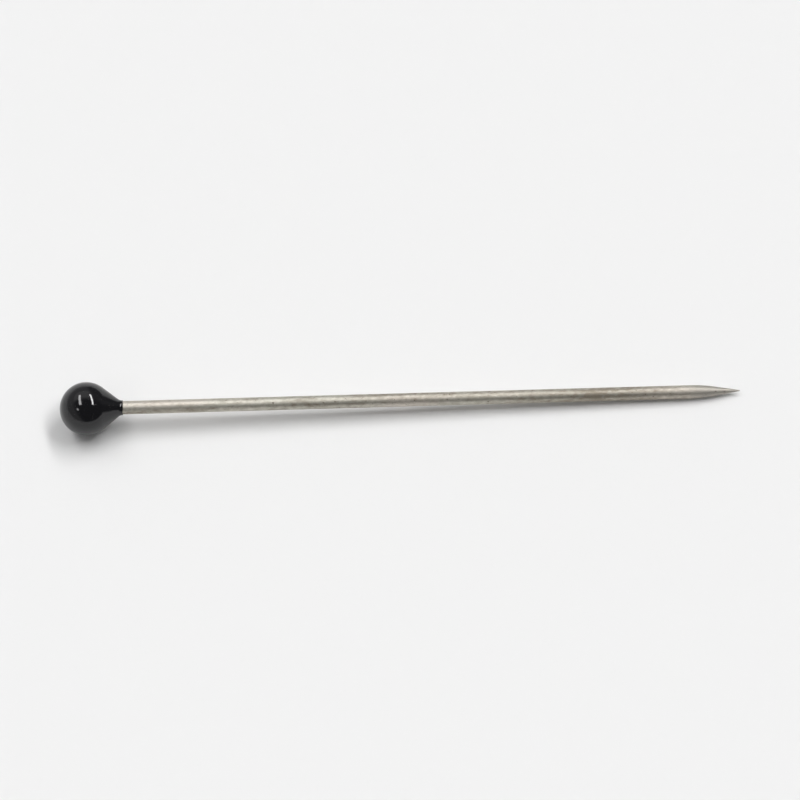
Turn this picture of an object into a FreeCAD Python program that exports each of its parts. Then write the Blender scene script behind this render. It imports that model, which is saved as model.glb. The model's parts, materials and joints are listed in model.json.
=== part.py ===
import FreeCAD, Part
import math
import os

# A dressmaker's straight pin in two pieces: a hard, nickel-plated steel wire that is
# ground to a point, and a black plastic ball that is moulded round its blunt end.
# The wire's axis is X, with the point towards +X. The origin is on that axis, at the end
# of the ball's neck, where the bare wire comes out.

# Driving dimensions, in millimetres and degrees

# The whole pin
overall_length = 38.0        # from the far side of the ball to the tip

# The wire
wire_diameter = 0.75
seat_depth = 2.4             # length of wire that is buried in the ball
wire_end_chamfer = 0.08      # on the cut end that is hidden there
grip_pitch = 0.3             # rings rolled into the buried wire, so that the ball can't slide
grip_depth = 0.05

# The ground point
point_length = 2.8           # from the tip back to the full wire
point_angle = 19.0           # included angle of the cone
tip_radius = 0.03            # what grinding and plating leave of a sharp tip

# The ball and its neck
ball_diameter = 3.0
neck_length = 0.5            # how far the neck stands out past the ball
neck_wall = 0.04             # plastic round the wire where the neck ends
neck_hollow_radius = 0.3     # hollow curve that brings the neck's cone down to the wire
neck_edge_radius = 0.02      # rounding of the neck's thin end

# Sizes and places that follow from them

wire_radius = wire_diameter / 2
ball_radius = ball_diameter / 2
ball_x = -(neck_length + ball_radius)
tip_x = overall_length - neck_length - ball_diameter


def place(x, r):
    """A point of a half outline: x along the pin, r out from its axis."""
    return FreeCAD.Vector(x, 0, r)


def on_circle(centre_x, centre_r, radius, degrees):
    """A point on a circle of a half outline, turned from +X towards the outside."""
    turn = math.radians(degrees)
    return place(centre_x + radius * math.cos(turn), centre_r + radius * math.sin(turn))


def line(start, end):
    return Part.LineSegment(start, end).toShape()


def arc(centre_x, centre_r, radius, first, last):
    """The arc about a centre from one direction to another, in degrees."""
    start = on_circle(centre_x, centre_r, radius, first)
    middle = on_circle(centre_x, centre_r, radius, (first + last) / 2)
    end = on_circle(centre_x, centre_r, radius, last)
    return Part.Arc(start, middle, end).toShape()


def turned(edges):
    """The solid that a half outline sweeps round the pin's axis. The axis closes it."""
    first = edges[0].valueAt(edges[0].FirstParameter)
    last = edges[-1].valueAt(edges[-1].LastParameter)
    outline = Part.Wire(edges + [line(last, first)])
    return Part.Face(outline).revolve(FreeCAD.Vector(0, 0, 0), FreeCAD.Vector(1, 0, 0), 360)


def steel_shank():
    """The wire: cut end, grip rings, plain shank, and a point ground in one smooth sweep.

    The rings are whole, and fill the buried stretch up to the end of the neck. The point is
    a cone with a tiny round tip. A long arc, which touches both the cone and the plain wire,
    takes away the shoulder between them.
    """
    half_angle = point_angle / 2
    slope = math.tan(math.radians(half_angle))
    tip_centre_x = tip_x - tip_radius
    apex_x = tip_centre_x + tip_radius / math.sin(math.radians(half_angle))
    shoulder_x = tip_x - point_length
    corner_x = apex_x - wire_radius / slope
    sweep_radius = (corner_x - shoulder_x) / math.tan(math.radians(half_angle / 2))
    sweep_centre_r = wire_radius - sweep_radius

    cut_x = -seat_depth
    ringed = seat_depth - wire_end_chamfer
    ring_count = max(1, round(ringed / grip_pitch))
    ring = ringed / ring_count
    buried = [place(cut_x, 0), place(cut_x, wire_radius - wire_end_chamfer), place(-ringed, wire_radius)]
    for n in reversed(range(ring_count)):
        buried += [place(-ring * (n + 0.5), wire_radius - grip_depth), place(-ring * n, wire_radius)]
    cone_start = on_circle(shoulder_x, sweep_centre_r, sweep_radius, 90 - half_angle)
    cone_end = on_circle(tip_centre_x, 0, tip_radius, 90 - half_angle)
    return turned([line(start, end) for start, end in zip(buried, buried[1:])] + [
        line(buried[-1], place(shoulder_x, wire_radius)),
        arc(shoulder_x, sweep_centre_r, sweep_radius, 90, 90 - half_angle),
        line(cone_start, cone_end),
        arc(tip_centre_x, 0, tip_radius, 90 - half_angle, 0),
    ])


def ball_head(shank):
    """The moulded teardrop: a ball, a cone that leaves it smoothly, and a hollow neck.

    The cone touches both the ball and the hollow curve, so its angle follows from their
    centres and radii. The seat inside is the form of the wire that the ball is moulded on.
    """
    neck_radius = wire_radius + neck_wall
    hollow_x = -neck_edge_radius
    hollow_r = neck_radius + neck_hollow_radius
    between = math.hypot(hollow_x - ball_x, hollow_r)
    rise = math.degrees(math.atan2(hollow_r, hollow_x - ball_x))
    cone_angle = math.degrees(math.asin((ball_radius + neck_hollow_radius) / between)) - rise

    cone_start = on_circle(ball_x, 0, ball_radius, 90 - cone_angle)
    cone_end = on_circle(hollow_x, hollow_r, neck_hollow_radius, 270 - cone_angle)
    edge_centre_r = neck_radius - neck_edge_radius
    teardrop = turned([
        arc(ball_x, 0, ball_radius, 180, 90 - cone_angle),
        line(cone_start, cone_end),
        arc(hollow_x, hollow_r, neck_hollow_radius, 270 - cone_angle, 270),
        arc(hollow_x, edge_centre_r, neck_edge_radius, 90, 0),
        line(place(0, edge_centre_r), place(0, 0)),
    ])
    return teardrop.cut(shank)


def write(node, shape):
    """Check that a piece is one sound solid, and write it as parts/NODE.step."""
    if not shape.isValid() or len(shape.Solids) != 1:
        raise ValueError(f"{node} isn't one sound solid")
    shape.Solids[0].exportStep(f"parts/{node}.step")
    print(f"{node}: {shape.Volume:.3f} mm3")


os.makedirs("parts", exist_ok=True)
shank = steel_shank()
write("steel_shank", shank)
write("ball_head", ball_head(shank))
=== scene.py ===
import json
import math

import bpy
import numpy as np
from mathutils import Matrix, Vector


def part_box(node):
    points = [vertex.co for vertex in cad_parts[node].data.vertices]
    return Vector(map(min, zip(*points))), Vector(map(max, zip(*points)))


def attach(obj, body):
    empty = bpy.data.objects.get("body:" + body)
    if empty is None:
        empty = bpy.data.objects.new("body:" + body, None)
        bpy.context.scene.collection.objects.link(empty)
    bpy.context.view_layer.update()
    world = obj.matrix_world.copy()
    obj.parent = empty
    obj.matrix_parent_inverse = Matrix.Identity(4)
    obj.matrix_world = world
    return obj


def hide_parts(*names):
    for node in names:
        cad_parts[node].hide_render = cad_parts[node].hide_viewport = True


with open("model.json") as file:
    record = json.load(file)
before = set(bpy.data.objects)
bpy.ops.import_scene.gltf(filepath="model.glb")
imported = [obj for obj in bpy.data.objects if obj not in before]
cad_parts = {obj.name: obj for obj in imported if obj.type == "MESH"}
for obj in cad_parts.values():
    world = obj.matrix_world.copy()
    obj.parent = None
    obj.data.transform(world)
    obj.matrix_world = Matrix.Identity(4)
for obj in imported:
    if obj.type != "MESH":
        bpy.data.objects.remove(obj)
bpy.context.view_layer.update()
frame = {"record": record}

# The steel shank is a length of hard drawn wire with a thin nickel plating. The end that
# the ball hides is cut square and keyed with rolled rings, and the other end is ground to
# a point: a cone with a tiny round tip, and a long sweep in place of a shoulder.
mm = 0.001
plain_wire = frame["record"]["mounts"][0]["dims"]
shank_low, shank_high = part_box("steel_shank")
wire_radius = plain_wire["r_mm"] * mm
shoulder_x = plain_wire["length_mm"] * mm
cut_x = shank_low.x
tip_x = shank_high.x
cut_chamfer = 0.08 * mm
grip_pitch = 0.3 * mm
grip_depth = 0.05 * mm
point_half_angle = 9.5
tip_radius = 0.03 * mm
shank_sides = 128
crease_degrees = 15

ground_from = shoulder_x - 0.5 * mm
ground_to = shoulder_x + 0.9 * mm
duller_from = 9 * mm
duller_to = 22 * mm
steel_relief = 0.006 * mm
nickel_pink = (0.60, 0.555, 0.50, 1)
nickel_green = (0.575, 0.56, 0.495, 1)
tarnish = (0.31, 0.275, 0.225, 1)
fresh_ground = (0.44, 0.415, 0.375, 1)
fleck_brown = (0.12, 0.09, 0.065, 1)


def straight(start, end, steps):
    """Evenly spaced points of an outline from start to end. The next stretch adds the end."""
    along = np.linspace(0, 1, steps, endpoint=False)[:, None]
    return np.array(start) + along * (np.array(end) - np.array(start))


def on_circle(centre, radius, degrees):
    """The centre plus the radius times (cos, sin) of an angle, or of each angle of a row of
    them, in degrees from +X towards the outside."""
    turn = np.radians(degrees)
    return np.array(centre) + radius * np.stack([np.cos(turn), np.sin(turn)], axis=-1)


def bend(centre, radius, first, last, steps):
    """Points of an arc, at evenly spaced angles. The next stretch adds the last one."""
    return on_circle(centre, radius, np.linspace(first, last, steps, endpoint=False))


def buried_outline():
    """The outline of the wire in the ball, from the middle of its cut end to the neck's end:
    a chamfer, and then whole rings, each down by the grip's depth at its middle."""
    ringed = -cut_x - cut_chamfer
    rings = max(1, round(ringed / grip_pitch))
    x = np.linspace(-ringed, 0, 2 * rings + 1)
    r = wire_radius - grip_depth * (np.arange(len(x)) % 2)
    end = [(cut_x, 0), (cut_x, wire_radius - cut_chamfer)]
    return np.concatenate([end, np.stack([x, r], axis=1)])


def turned(name, x, r):
    """A closed surface turned about the X axis. x and r are grids: a row for each point of the
    outline, a column for each angle t, and a point is (x, r sin t, r cos t). The first and
    last rows lie on the axis, and each is drawn in to one point."""
    rows, sides = x.shape[0] - 2, x.shape[1]
    t = 2 * np.pi * np.arange(sides) / sides
    grid = np.stack([x, r * np.sin(t), r * np.cos(t)], axis=2)
    points = np.concatenate([grid[1:-1].reshape(-1, 3), grid[0, :1], grid[-1, :1]])
    here = np.arange(sides)
    beside = (here + 1) % sides
    row = np.arange(rows - 1)[:, None] * sides
    walls = np.stack([row + here, row + sides + here, row + sides + beside, row + beside], axis=2)
    last_row = (rows - 1) * sides
    first_cap = np.stack([here * 0 + rows * sides, here, beside], axis=1)
    last_cap = np.stack([last_row + here, here * 0 + rows * sides + 1, last_row + beside], axis=1)
    mesh = bpy.data.meshes.new(name)
    faces = walls.reshape(-1, 4).tolist() + first_cap.tolist() + last_cap.tolist()
    mesh.from_pydata(points.tolist(), [], faces)
    mesh.shade_smooth()
    mesh.set_sharp_from_angle(angle=math.radians(crease_degrees))
    piece = bpy.data.objects.new(name, mesh)
    bpy.context.scene.collection.objects.link(piece)
    return piece


class Shade:
    """An output of a shader node. Sums on it add Math nodes, and node() adds any other."""

    def __init__(self, tree, socket=None):
        self.tree = tree
        self.socket = socket

    def node(self, kind, settings, sockets, output=0):
        """A new node of a type. Its settings are set first, and then its sockets, each to a
        value or a link. What comes back is one of its outputs."""
        made = self.tree.nodes.new(kind)
        for name, value in settings.items():
            setattr(made, name, value)
        for name, value in sockets.items():
            if isinstance(value, Shade):
                self.tree.links.new(value.socket, made.inputs[name])
            else:
                made.inputs[name].default_value = value
        return Shade(self.tree, made.outputs[output] if made.outputs else None)

    def maths(self, operation, *values):
        return self.node("ShaderNodeMath", {"operation": operation}, dict(enumerate(values)))

    def ramp(self, low, high):
        """0 up to low, 1 from high, and a smooth step between."""
        ends = {"Value": self, "From Min": low, "From Max": high}
        return self.node("ShaderNodeMapRange", {"interpolation_type": "SMOOTHSTEP"}, ends)

    def mix(self, one, other):
        """The colour that goes from one to the other as this value goes from 0 to 1."""
        return self.node("ShaderNodeMix", {"data_type": "RGBA"}, {0: self, 6: one, 7: other}, 2)

    def noise(self, waves, detail=2.0, roughness=0.5):
        """Noise at this place, with its own number of waves to the metre along X, Y and Z."""
        stretched = self.node("ShaderNodeVectorMath", {"operation": "MULTIPLY"}, {0: self, 1: waves})
        sockets = {"Vector": stretched, "Scale": 1.0, "Detail": detail, "Roughness": roughness}
        return self.node("ShaderNodeTexNoise", {}, sockets)

    def __add__(self, other):
        return self.maths("ADD", self, other)

    def __radd__(self, other):
        return self.maths("ADD", other, self)

    def __sub__(self, other):
        return self.maths("SUBTRACT", self, other)

    def __rsub__(self, other):
        return self.maths("SUBTRACT", other, self)

    def __mul__(self, other):
        return self.maths("MULTIPLY", self, other)

    def __rmul__(self, other):
        return self.maths("MULTIPLY", other, self)

    def __truediv__(self, other):
        return self.maths("DIVIDE", self, other)


def empty_material(piece, name):
    """A new material on a piece, with no nodes in it yet."""
    material = bpy.data.materials.new(name)
    material.use_nodes = True
    material.node_tree.nodes.clear()
    piece.data.materials.append(material)
    return Shade(material.node_tree)


def steel_outline():
    """The whole outline of the shank. The sweep is the arc that touches the plain wire at the
    shoulder and also the cone, so its radius follows from where those two lines meet."""
    half = math.radians(point_half_angle)
    tip_centre = tip_x - tip_radius
    corner_x = tip_centre + tip_radius / math.sin(half) - wire_radius / math.tan(half)
    sweep_radius = (corner_x - shoulder_x) / math.tan(half / 2)
    sweep_centre = (shoulder_x, wire_radius - sweep_radius)
    touch = 90 - point_half_angle
    cone_start = on_circle(sweep_centre, sweep_radius, touch)
    cone_end = on_circle((tip_centre, 0), tip_radius, touch)
    return np.concatenate([
        buried_outline()[:-1],
        straight((0, wire_radius), (shoulder_x, wire_radius), steps=96),
        bend(sweep_centre, sweep_radius, 90, touch, steps=20),
        straight(cone_start, cone_end, steps=24),
        bend((tip_centre, 0), tip_radius, touch, 0, steps=8),
        [(tip_x, 0)],
    ])


def steel_finish(piece):
    """Plated steel gone satin with age, and duller in the half towards the point: streaks
    along the drawn wire, a fine mottle, slow changes of tone, patches of tarnish and brown
    flecks, and on the point the shorter marks of the wheel."""
    shade = empty_material(piece, "plated_steel")
    place = shade.node("ShaderNodeTexCoord", {}, {}, "Object")
    x = shade.node("ShaderNodeSeparateXYZ", {}, {"Vector": place}, "X")
    ground = x.ramp(ground_from, ground_to)
    duller = x.ramp(duller_from, duller_to)
    zones = place.noise((150, 500, 500))
    worn = place.noise((120, 1100, 1100))
    mottle = place.noise((2600, 5200, 5200), 3.0, 0.6)
    streaks = place.noise((130, 9000, 9000), 3.0, 0.6)
    hairlines = place.noise((300, 34000, 34000), 2.0, 0.7)
    patches = place.noise((320, 1500, 1500), 4.0, 0.6)
    flecks = place.noise((4000, 7000, 7000), 2.0, 0.55)
    grinding = place.noise((2200, 15000, 15000), 3.0, 0.65)
    tarnished = patches.ramp(0.52, 0.72) * (1 - 0.7 * ground)
    flecked = flecks.ramp(0.67, 0.73)
    nickel = zones.ramp(0.38, 0.62).mix(nickel_pink, nickel_green)
    uneven = (streaks - 0.5) * 0.9 + (mottle - 0.5) * 1.8 + (worn - 0.5) * 1.8
    dulled = 0.06 + duller * 0.33 + tarnished * 0.4 + uneven
    drawn = dulled.mix(nickel, tarnish)
    colour = (flecked * 0.6).mix(ground.mix(drawn, fresh_ground), fleck_brown)
    drawn_roughness = 0.53 + (mottle - 0.5) * 0.3 + tarnished * 0.08
    ground_roughness = 0.62 + (grinding - 0.5) * 0.3
    roughness = drawn_roughness * (1 - ground) + ground_roughness * ground + flecked * 0.15
    drawn_relief = streaks * 0.5 + hairlines * 0.5
    relief = drawn_relief * (1 - ground) + grinding * ground * 0.2
    bump = shade.node("ShaderNodeBump", {}, {
        "Height": relief,
        "Strength": 1.0,
        "Distance": steel_relief,
    })
    steel = shade.node("ShaderNodeBsdfPrincipled", {}, {
        "Base Color": colour,
        "Metallic": 1.0,
        "Roughness": roughness,
        "Normal": bump,
    })
    shade.node("ShaderNodeOutputMaterial", {}, {"Surface": steel})


steel_points = steel_outline()
shank_round = np.ones(shank_sides)
shank = turned("shank", steel_points[:, :1] * shank_round, steel_points[:, 1:] * shank_round)
steel_finish(shank)
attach(shank, "root")
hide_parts("steel_shank")

# The ball head is black plastic, moulded round the ringed end of the wire. It is a ball
# whose cone and hollow neck run down to the wire, where the plastic ends in a thin edge
# that isn't quite even. A moulded ball is glossy, with slow waves where it shrank.
ball_low, ball_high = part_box("ball_head")
ball_radius = (ball_high.y - ball_low.y) / 2
ball_x = ball_low.x + ball_radius
neck_radius = wire_radius + 0.04 * mm
neck_hollow_radius = 0.3 * mm
neck_edge_radius = 0.02 * mm
neck_creep = 0.06 * mm
neck_creep_reach = 0.35 * mm
shrink_waves = 0.006 * mm
head_sides = 160

plastic_relief = 0.004 * mm
black_plastic = (0.0035, 0.0035, 0.0048, 1)
dust_grey = (0.10, 0.098, 0.095, 1)


def head_outline():
    """The whole outline of the head, from the ball's far side over the neck's edge and back
    along its seat on the wire. The cone touches both the ball and the neck's hollow."""
    hollow_x = -neck_edge_radius
    hollow_r = neck_radius + neck_hollow_radius
    between = math.hypot(hollow_x - ball_x, hollow_r)
    rise = math.degrees(math.atan2(hollow_r, hollow_x - ball_x))
    lean = math.degrees(math.asin((ball_radius + neck_hollow_radius) / between)) - rise
    cone_start = on_circle((ball_x, 0), ball_radius, 90 - lean)
    cone_end = on_circle((hollow_x, hollow_r), neck_hollow_radius, 270 - lean)
    edge_r = neck_radius - neck_edge_radius
    outside = np.concatenate([
        [(ball_x - ball_radius, 0)],
        bend((ball_x, 0), ball_radius, 180, 90 - lean, steps=97)[1:],
        straight(cone_start, cone_end, steps=8),
        bend((hollow_x, hollow_r), neck_hollow_radius, 270 - lean, 270, steps=20),
        bend((hollow_x, edge_r), neck_edge_radius, 90, 0, steps=10),
        [(0, edge_r), (0, wire_radius)],
    ])
    seat = buried_outline()[::-1]
    return outside, seat


def head_surface():
    """The outline turned, with two small changes outside. The ball's radius is less by a
    product of sine waves along and round it, and the neck's thin end moves along the wire
    by a sum of sines of the angle t, fading out up the neck."""
    outside, seat = head_outline()
    t = 2 * np.pi * np.arange(head_sides) / head_sides
    x = outside[:, :1] * np.ones(head_sides)
    r = outside[:, 1:] * np.ones(head_sides)
    along = (outside[:, :1] - ball_low.x) / (ball_radius * 2)
    fade = np.clip(along * 4, 0, 1) * np.clip((1 - along) * 4, 0, 1)
    waves = 0.5 + 0.25 * np.sin(3 * t + 7 * along) + 0.25 * np.sin(2 * t - 11 * along + 1.9)
    r = r - shrink_waves * fade * waves
    neck = np.clip((outside[:, :1] + neck_creep_reach) / neck_creep_reach, 0, 1) ** 2
    creep = 0.5 + 0.22 * np.sin(t + 0.6) + 0.16 * np.sin(3 * t + 2.1) + 0.12 * np.sin(7 * t)
    x = x + neck_creep * neck * creep
    x = np.concatenate([x, seat[:, :1] * np.ones(head_sides)])
    r = np.concatenate([r, seat[:, 1:] * np.ones(head_sides)])
    return x, r


def plastic_finish(piece):
    """Glossy black plastic: a faint orange peel, a few specks of dust, and hair scratches and
    finger marks that dull the gloss a little."""
    shade = empty_material(piece, "black_ball")
    place = shade.node("ShaderNodeTexCoord", {}, {}, "Object")
    peel = place.noise((2600, 2600, 2600), 2.0, 0.45)
    marks = place.noise((900, 700, 1300), 4.0, 0.6)
    dust = place.noise((17000, 17000, 17000), 1.0)
    dusty = dust.ramp(0.74, 0.78)
    handled = marks.ramp(0.50, 0.68)
    colour = (dusty * 0.8).mix(black_plastic, dust_grey)
    roughness = 0.055 + handled * 0.06 + dusty * 0.4
    bump = shade.node("ShaderNodeBump", {}, {
        "Height": peel + dusty * 0.2,
        "Strength": 1.0,
        "Distance": plastic_relief,
    })
    plastic = shade.node("ShaderNodeBsdfPrincipled", {}, {
        "Base Color": colour,
        "Roughness": roughness,
        "IOR": 1.50,
        "Normal": bump,
    })
    shade.node("ShaderNodeOutputMaterial", {}, {"Surface": plastic})


head_x, head_r = head_surface()
head = turned("head", head_x, head_r)
plastic_finish(head)
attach(head, "root")
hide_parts("ball_head")

# The floor is plain pale paper. A loose pin lies on its ball and on the shoulder of its
# point, so its wire isn't quite level and its tip is clear of the paper. The pin keeps its
# own frame here, and the floor takes that small lean.
floor_half = 2.5
floor_cells = 8
paper = (0.848, 0.848, 0.848, 1)


def floor_lean():
    """The angle of the line that touches the ball from below and then meets the wire. At a
    point of the wire it would be arcsin(ball radius / reach) - arctan(r / distance along x),
    both measured from the ball's centre, and the least of them all is the one that holds."""
    bare = steel_points[steel_points[:, 0] > 0]
    along = bare[:, 0] - ball_x
    leans = np.arcsin(ball_radius / np.hypot(along, bare[:, 1])) - np.arctan2(bare[:, 1], along)
    return float(leans.min())


def floor_surface():
    """A flat grid of two parameters, level along y, and along x at the lean, through the place
    where it touches the ball from below."""
    lean = floor_lean()
    row = floor_cells + 1
    along = np.linspace(-floor_half, floor_half, row)
    x, y = np.meshgrid(along, along, indexing="ij")
    z = (x - ball_x) * math.tan(lean) - ball_radius / math.cos(lean)
    corner = (np.arange(floor_cells)[:, None] * row + np.arange(floor_cells)).reshape(-1, 1)
    mesh = bpy.data.meshes.new("floor")
    points = np.stack([x, y, z], axis=2).reshape(-1, 3)
    mesh.from_pydata(points.tolist(), [], (corner + [0, row, row + 1, 1]).tolist())
    surface = bpy.data.objects.new("floor", mesh)
    bpy.context.scene.collection.objects.link(surface)
    return surface


floor = floor_surface()
floor_shade = empty_material(floor, "paper")
floor_paper = floor_shade.node("ShaderNodeBsdfDiffuse", {}, {"Color": paper})
floor_shade.node("ShaderNodeOutputMaterial", {}, {"Surface": floor_paper})

# The studio is a soft room, dim on the camera's side, paler on the left and palest behind
# the pin, with two long strip lights overhead and a small lamp beside them. Each
# direction has one brightness, so the floor is lit evenly and the horizon has its tone.
room_front = (0.13, 0.13, 0.13, 1)
room_left = (0.42, 0.42, 0.42, 1)
room_back = (0.80, 0.80, 0.80, 1)
back_side_loss = 0.85
back_low_loss = 0.6
horizon = (0.90, 0.90, 0.90, 1)
horizon_edge = (0.03, 0.12)
lowest_height = 0.02

# These places are on a ceiling one unit up. A strip has a middle, a slant, a width and a
# level, and an edge is soft, from where it starts to where it ends.
strip_lights = {"left": (-0.45, -0.10, 0.20, 8.8), "right": (0.52, -0.20, 0.15, 19.5)}
strip_near_edge = (-0.18, -0.10)
strip_far_edge = (0.78, 0.86)
small_lamp = (-0.83, -0.56, 0.0)
small_lamp_radius = 0.11
small_lamp_level = 6.0
back_middle = -0.45
back_side_edge = (0.5, 1.2)
back_near_edge = (0.15, 0.55)
back_low_edge = (1.1, 1.9)
left_edge = (0.6, 1.8)

world = bpy.data.worlds.new("studio")
bpy.context.scene.world = world
world.use_nodes = True
world.node_tree.nodes.clear()
sky = Shade(world.node_tree)
direction = sky.node("ShaderNodeTexCoord", {}, {}, "Generated")
sky_x = sky.node("ShaderNodeSeparateXYZ", {}, {"Vector": direction}, "X")
sky_y = sky.node("ShaderNodeSeparateXYZ", {}, {"Vector": direction}, "Y")
sky_z = sky.node("ShaderNodeSeparateXYZ", {}, {"Vector": direction}, "Z")
height = sky.maths("MAXIMUM", sky_z, lowest_height)
ceiling_x = sky_x / height
ceiling_y = sky_y / height
back_side = sky.maths("ABSOLUTE", ceiling_x - back_middle).ramp(*back_side_edge)
back_low = ceiling_y.ramp(*back_low_edge)
back_wall = ceiling_y.ramp(*back_near_edge) * (1 - back_side * back_side_loss)
back_wall = back_wall * (1 - back_low * back_low_loss)
walls = (0 - ceiling_x).ramp(*left_edge).mix(room_front, room_left)
room = sky_z.ramp(*horizon_edge).mix(horizon, back_wall.mix(walls, room_back))
strip_run = ceiling_y.ramp(*strip_near_edge) * (1 - ceiling_y.ramp(*strip_far_edge))
ceiling = sky.node("ShaderNodeCombineXYZ", {}, {0: ceiling_x, 1: ceiling_y})
from_lamp = sky.node("ShaderNodeVectorMath", {"operation": "DISTANCE"}, {0: ceiling, 1: small_lamp}, 1)
strips = small_lamp_level * (1 - from_lamp.ramp(small_lamp_radius * 0.5, small_lamp_radius * 1.5))
for start, slant, width, level in strip_lights.values():
    from_middle = sky.maths("ABSOLUTE", ceiling_x - ceiling_y * slant - start)
    across = 1 - from_middle.ramp(width * 0.35, width * 0.65)
    strips = strips + strip_run * across * level
backdrop = sky.node("ShaderNodeBackground", {}, {"Color": room, "Strength": 1.0})
lamps = sky.node("ShaderNodeBackground", {}, {"Color": (1, 1, 1, 1), "Strength": strips})
both = sky.node("ShaderNodeAddShader", {}, {0: backdrop, 1: lamps})
sky.node("ShaderNodeOutputWorld", {}, {"Surface": both})

# The camera looks down at the pin from the photograph's angle and distance, with a longer
# lens, so that one pin fills the picture.
elevation = math.radians(63)
azimuth = math.radians(-1.8)
distance = 0.397
aim = Vector(((ball_low.x + tip_x) / 2, 0, 0))
back = Vector((
    math.sin(azimuth) * math.cos(elevation),
    -math.cos(azimuth) * math.cos(elevation),
    math.sin(elevation),
))
camera = bpy.data.objects.new("camera", bpy.data.cameras.new("camera"))
camera.data.lens = 320
camera.data.sensor_width = 36
camera.data.clip_start = 0.01
camera.data.clip_end = 20
camera.location = aim + back * distance
camera.rotation_mode = "QUATERNION"
camera.rotation_quaternion = (-back).to_track_quat("-Z", "Y")
bpy.context.scene.collection.objects.link(camera)
bpy.context.scene.camera = camera
bpy.context.scene.view_settings.view_transform = "Standard"
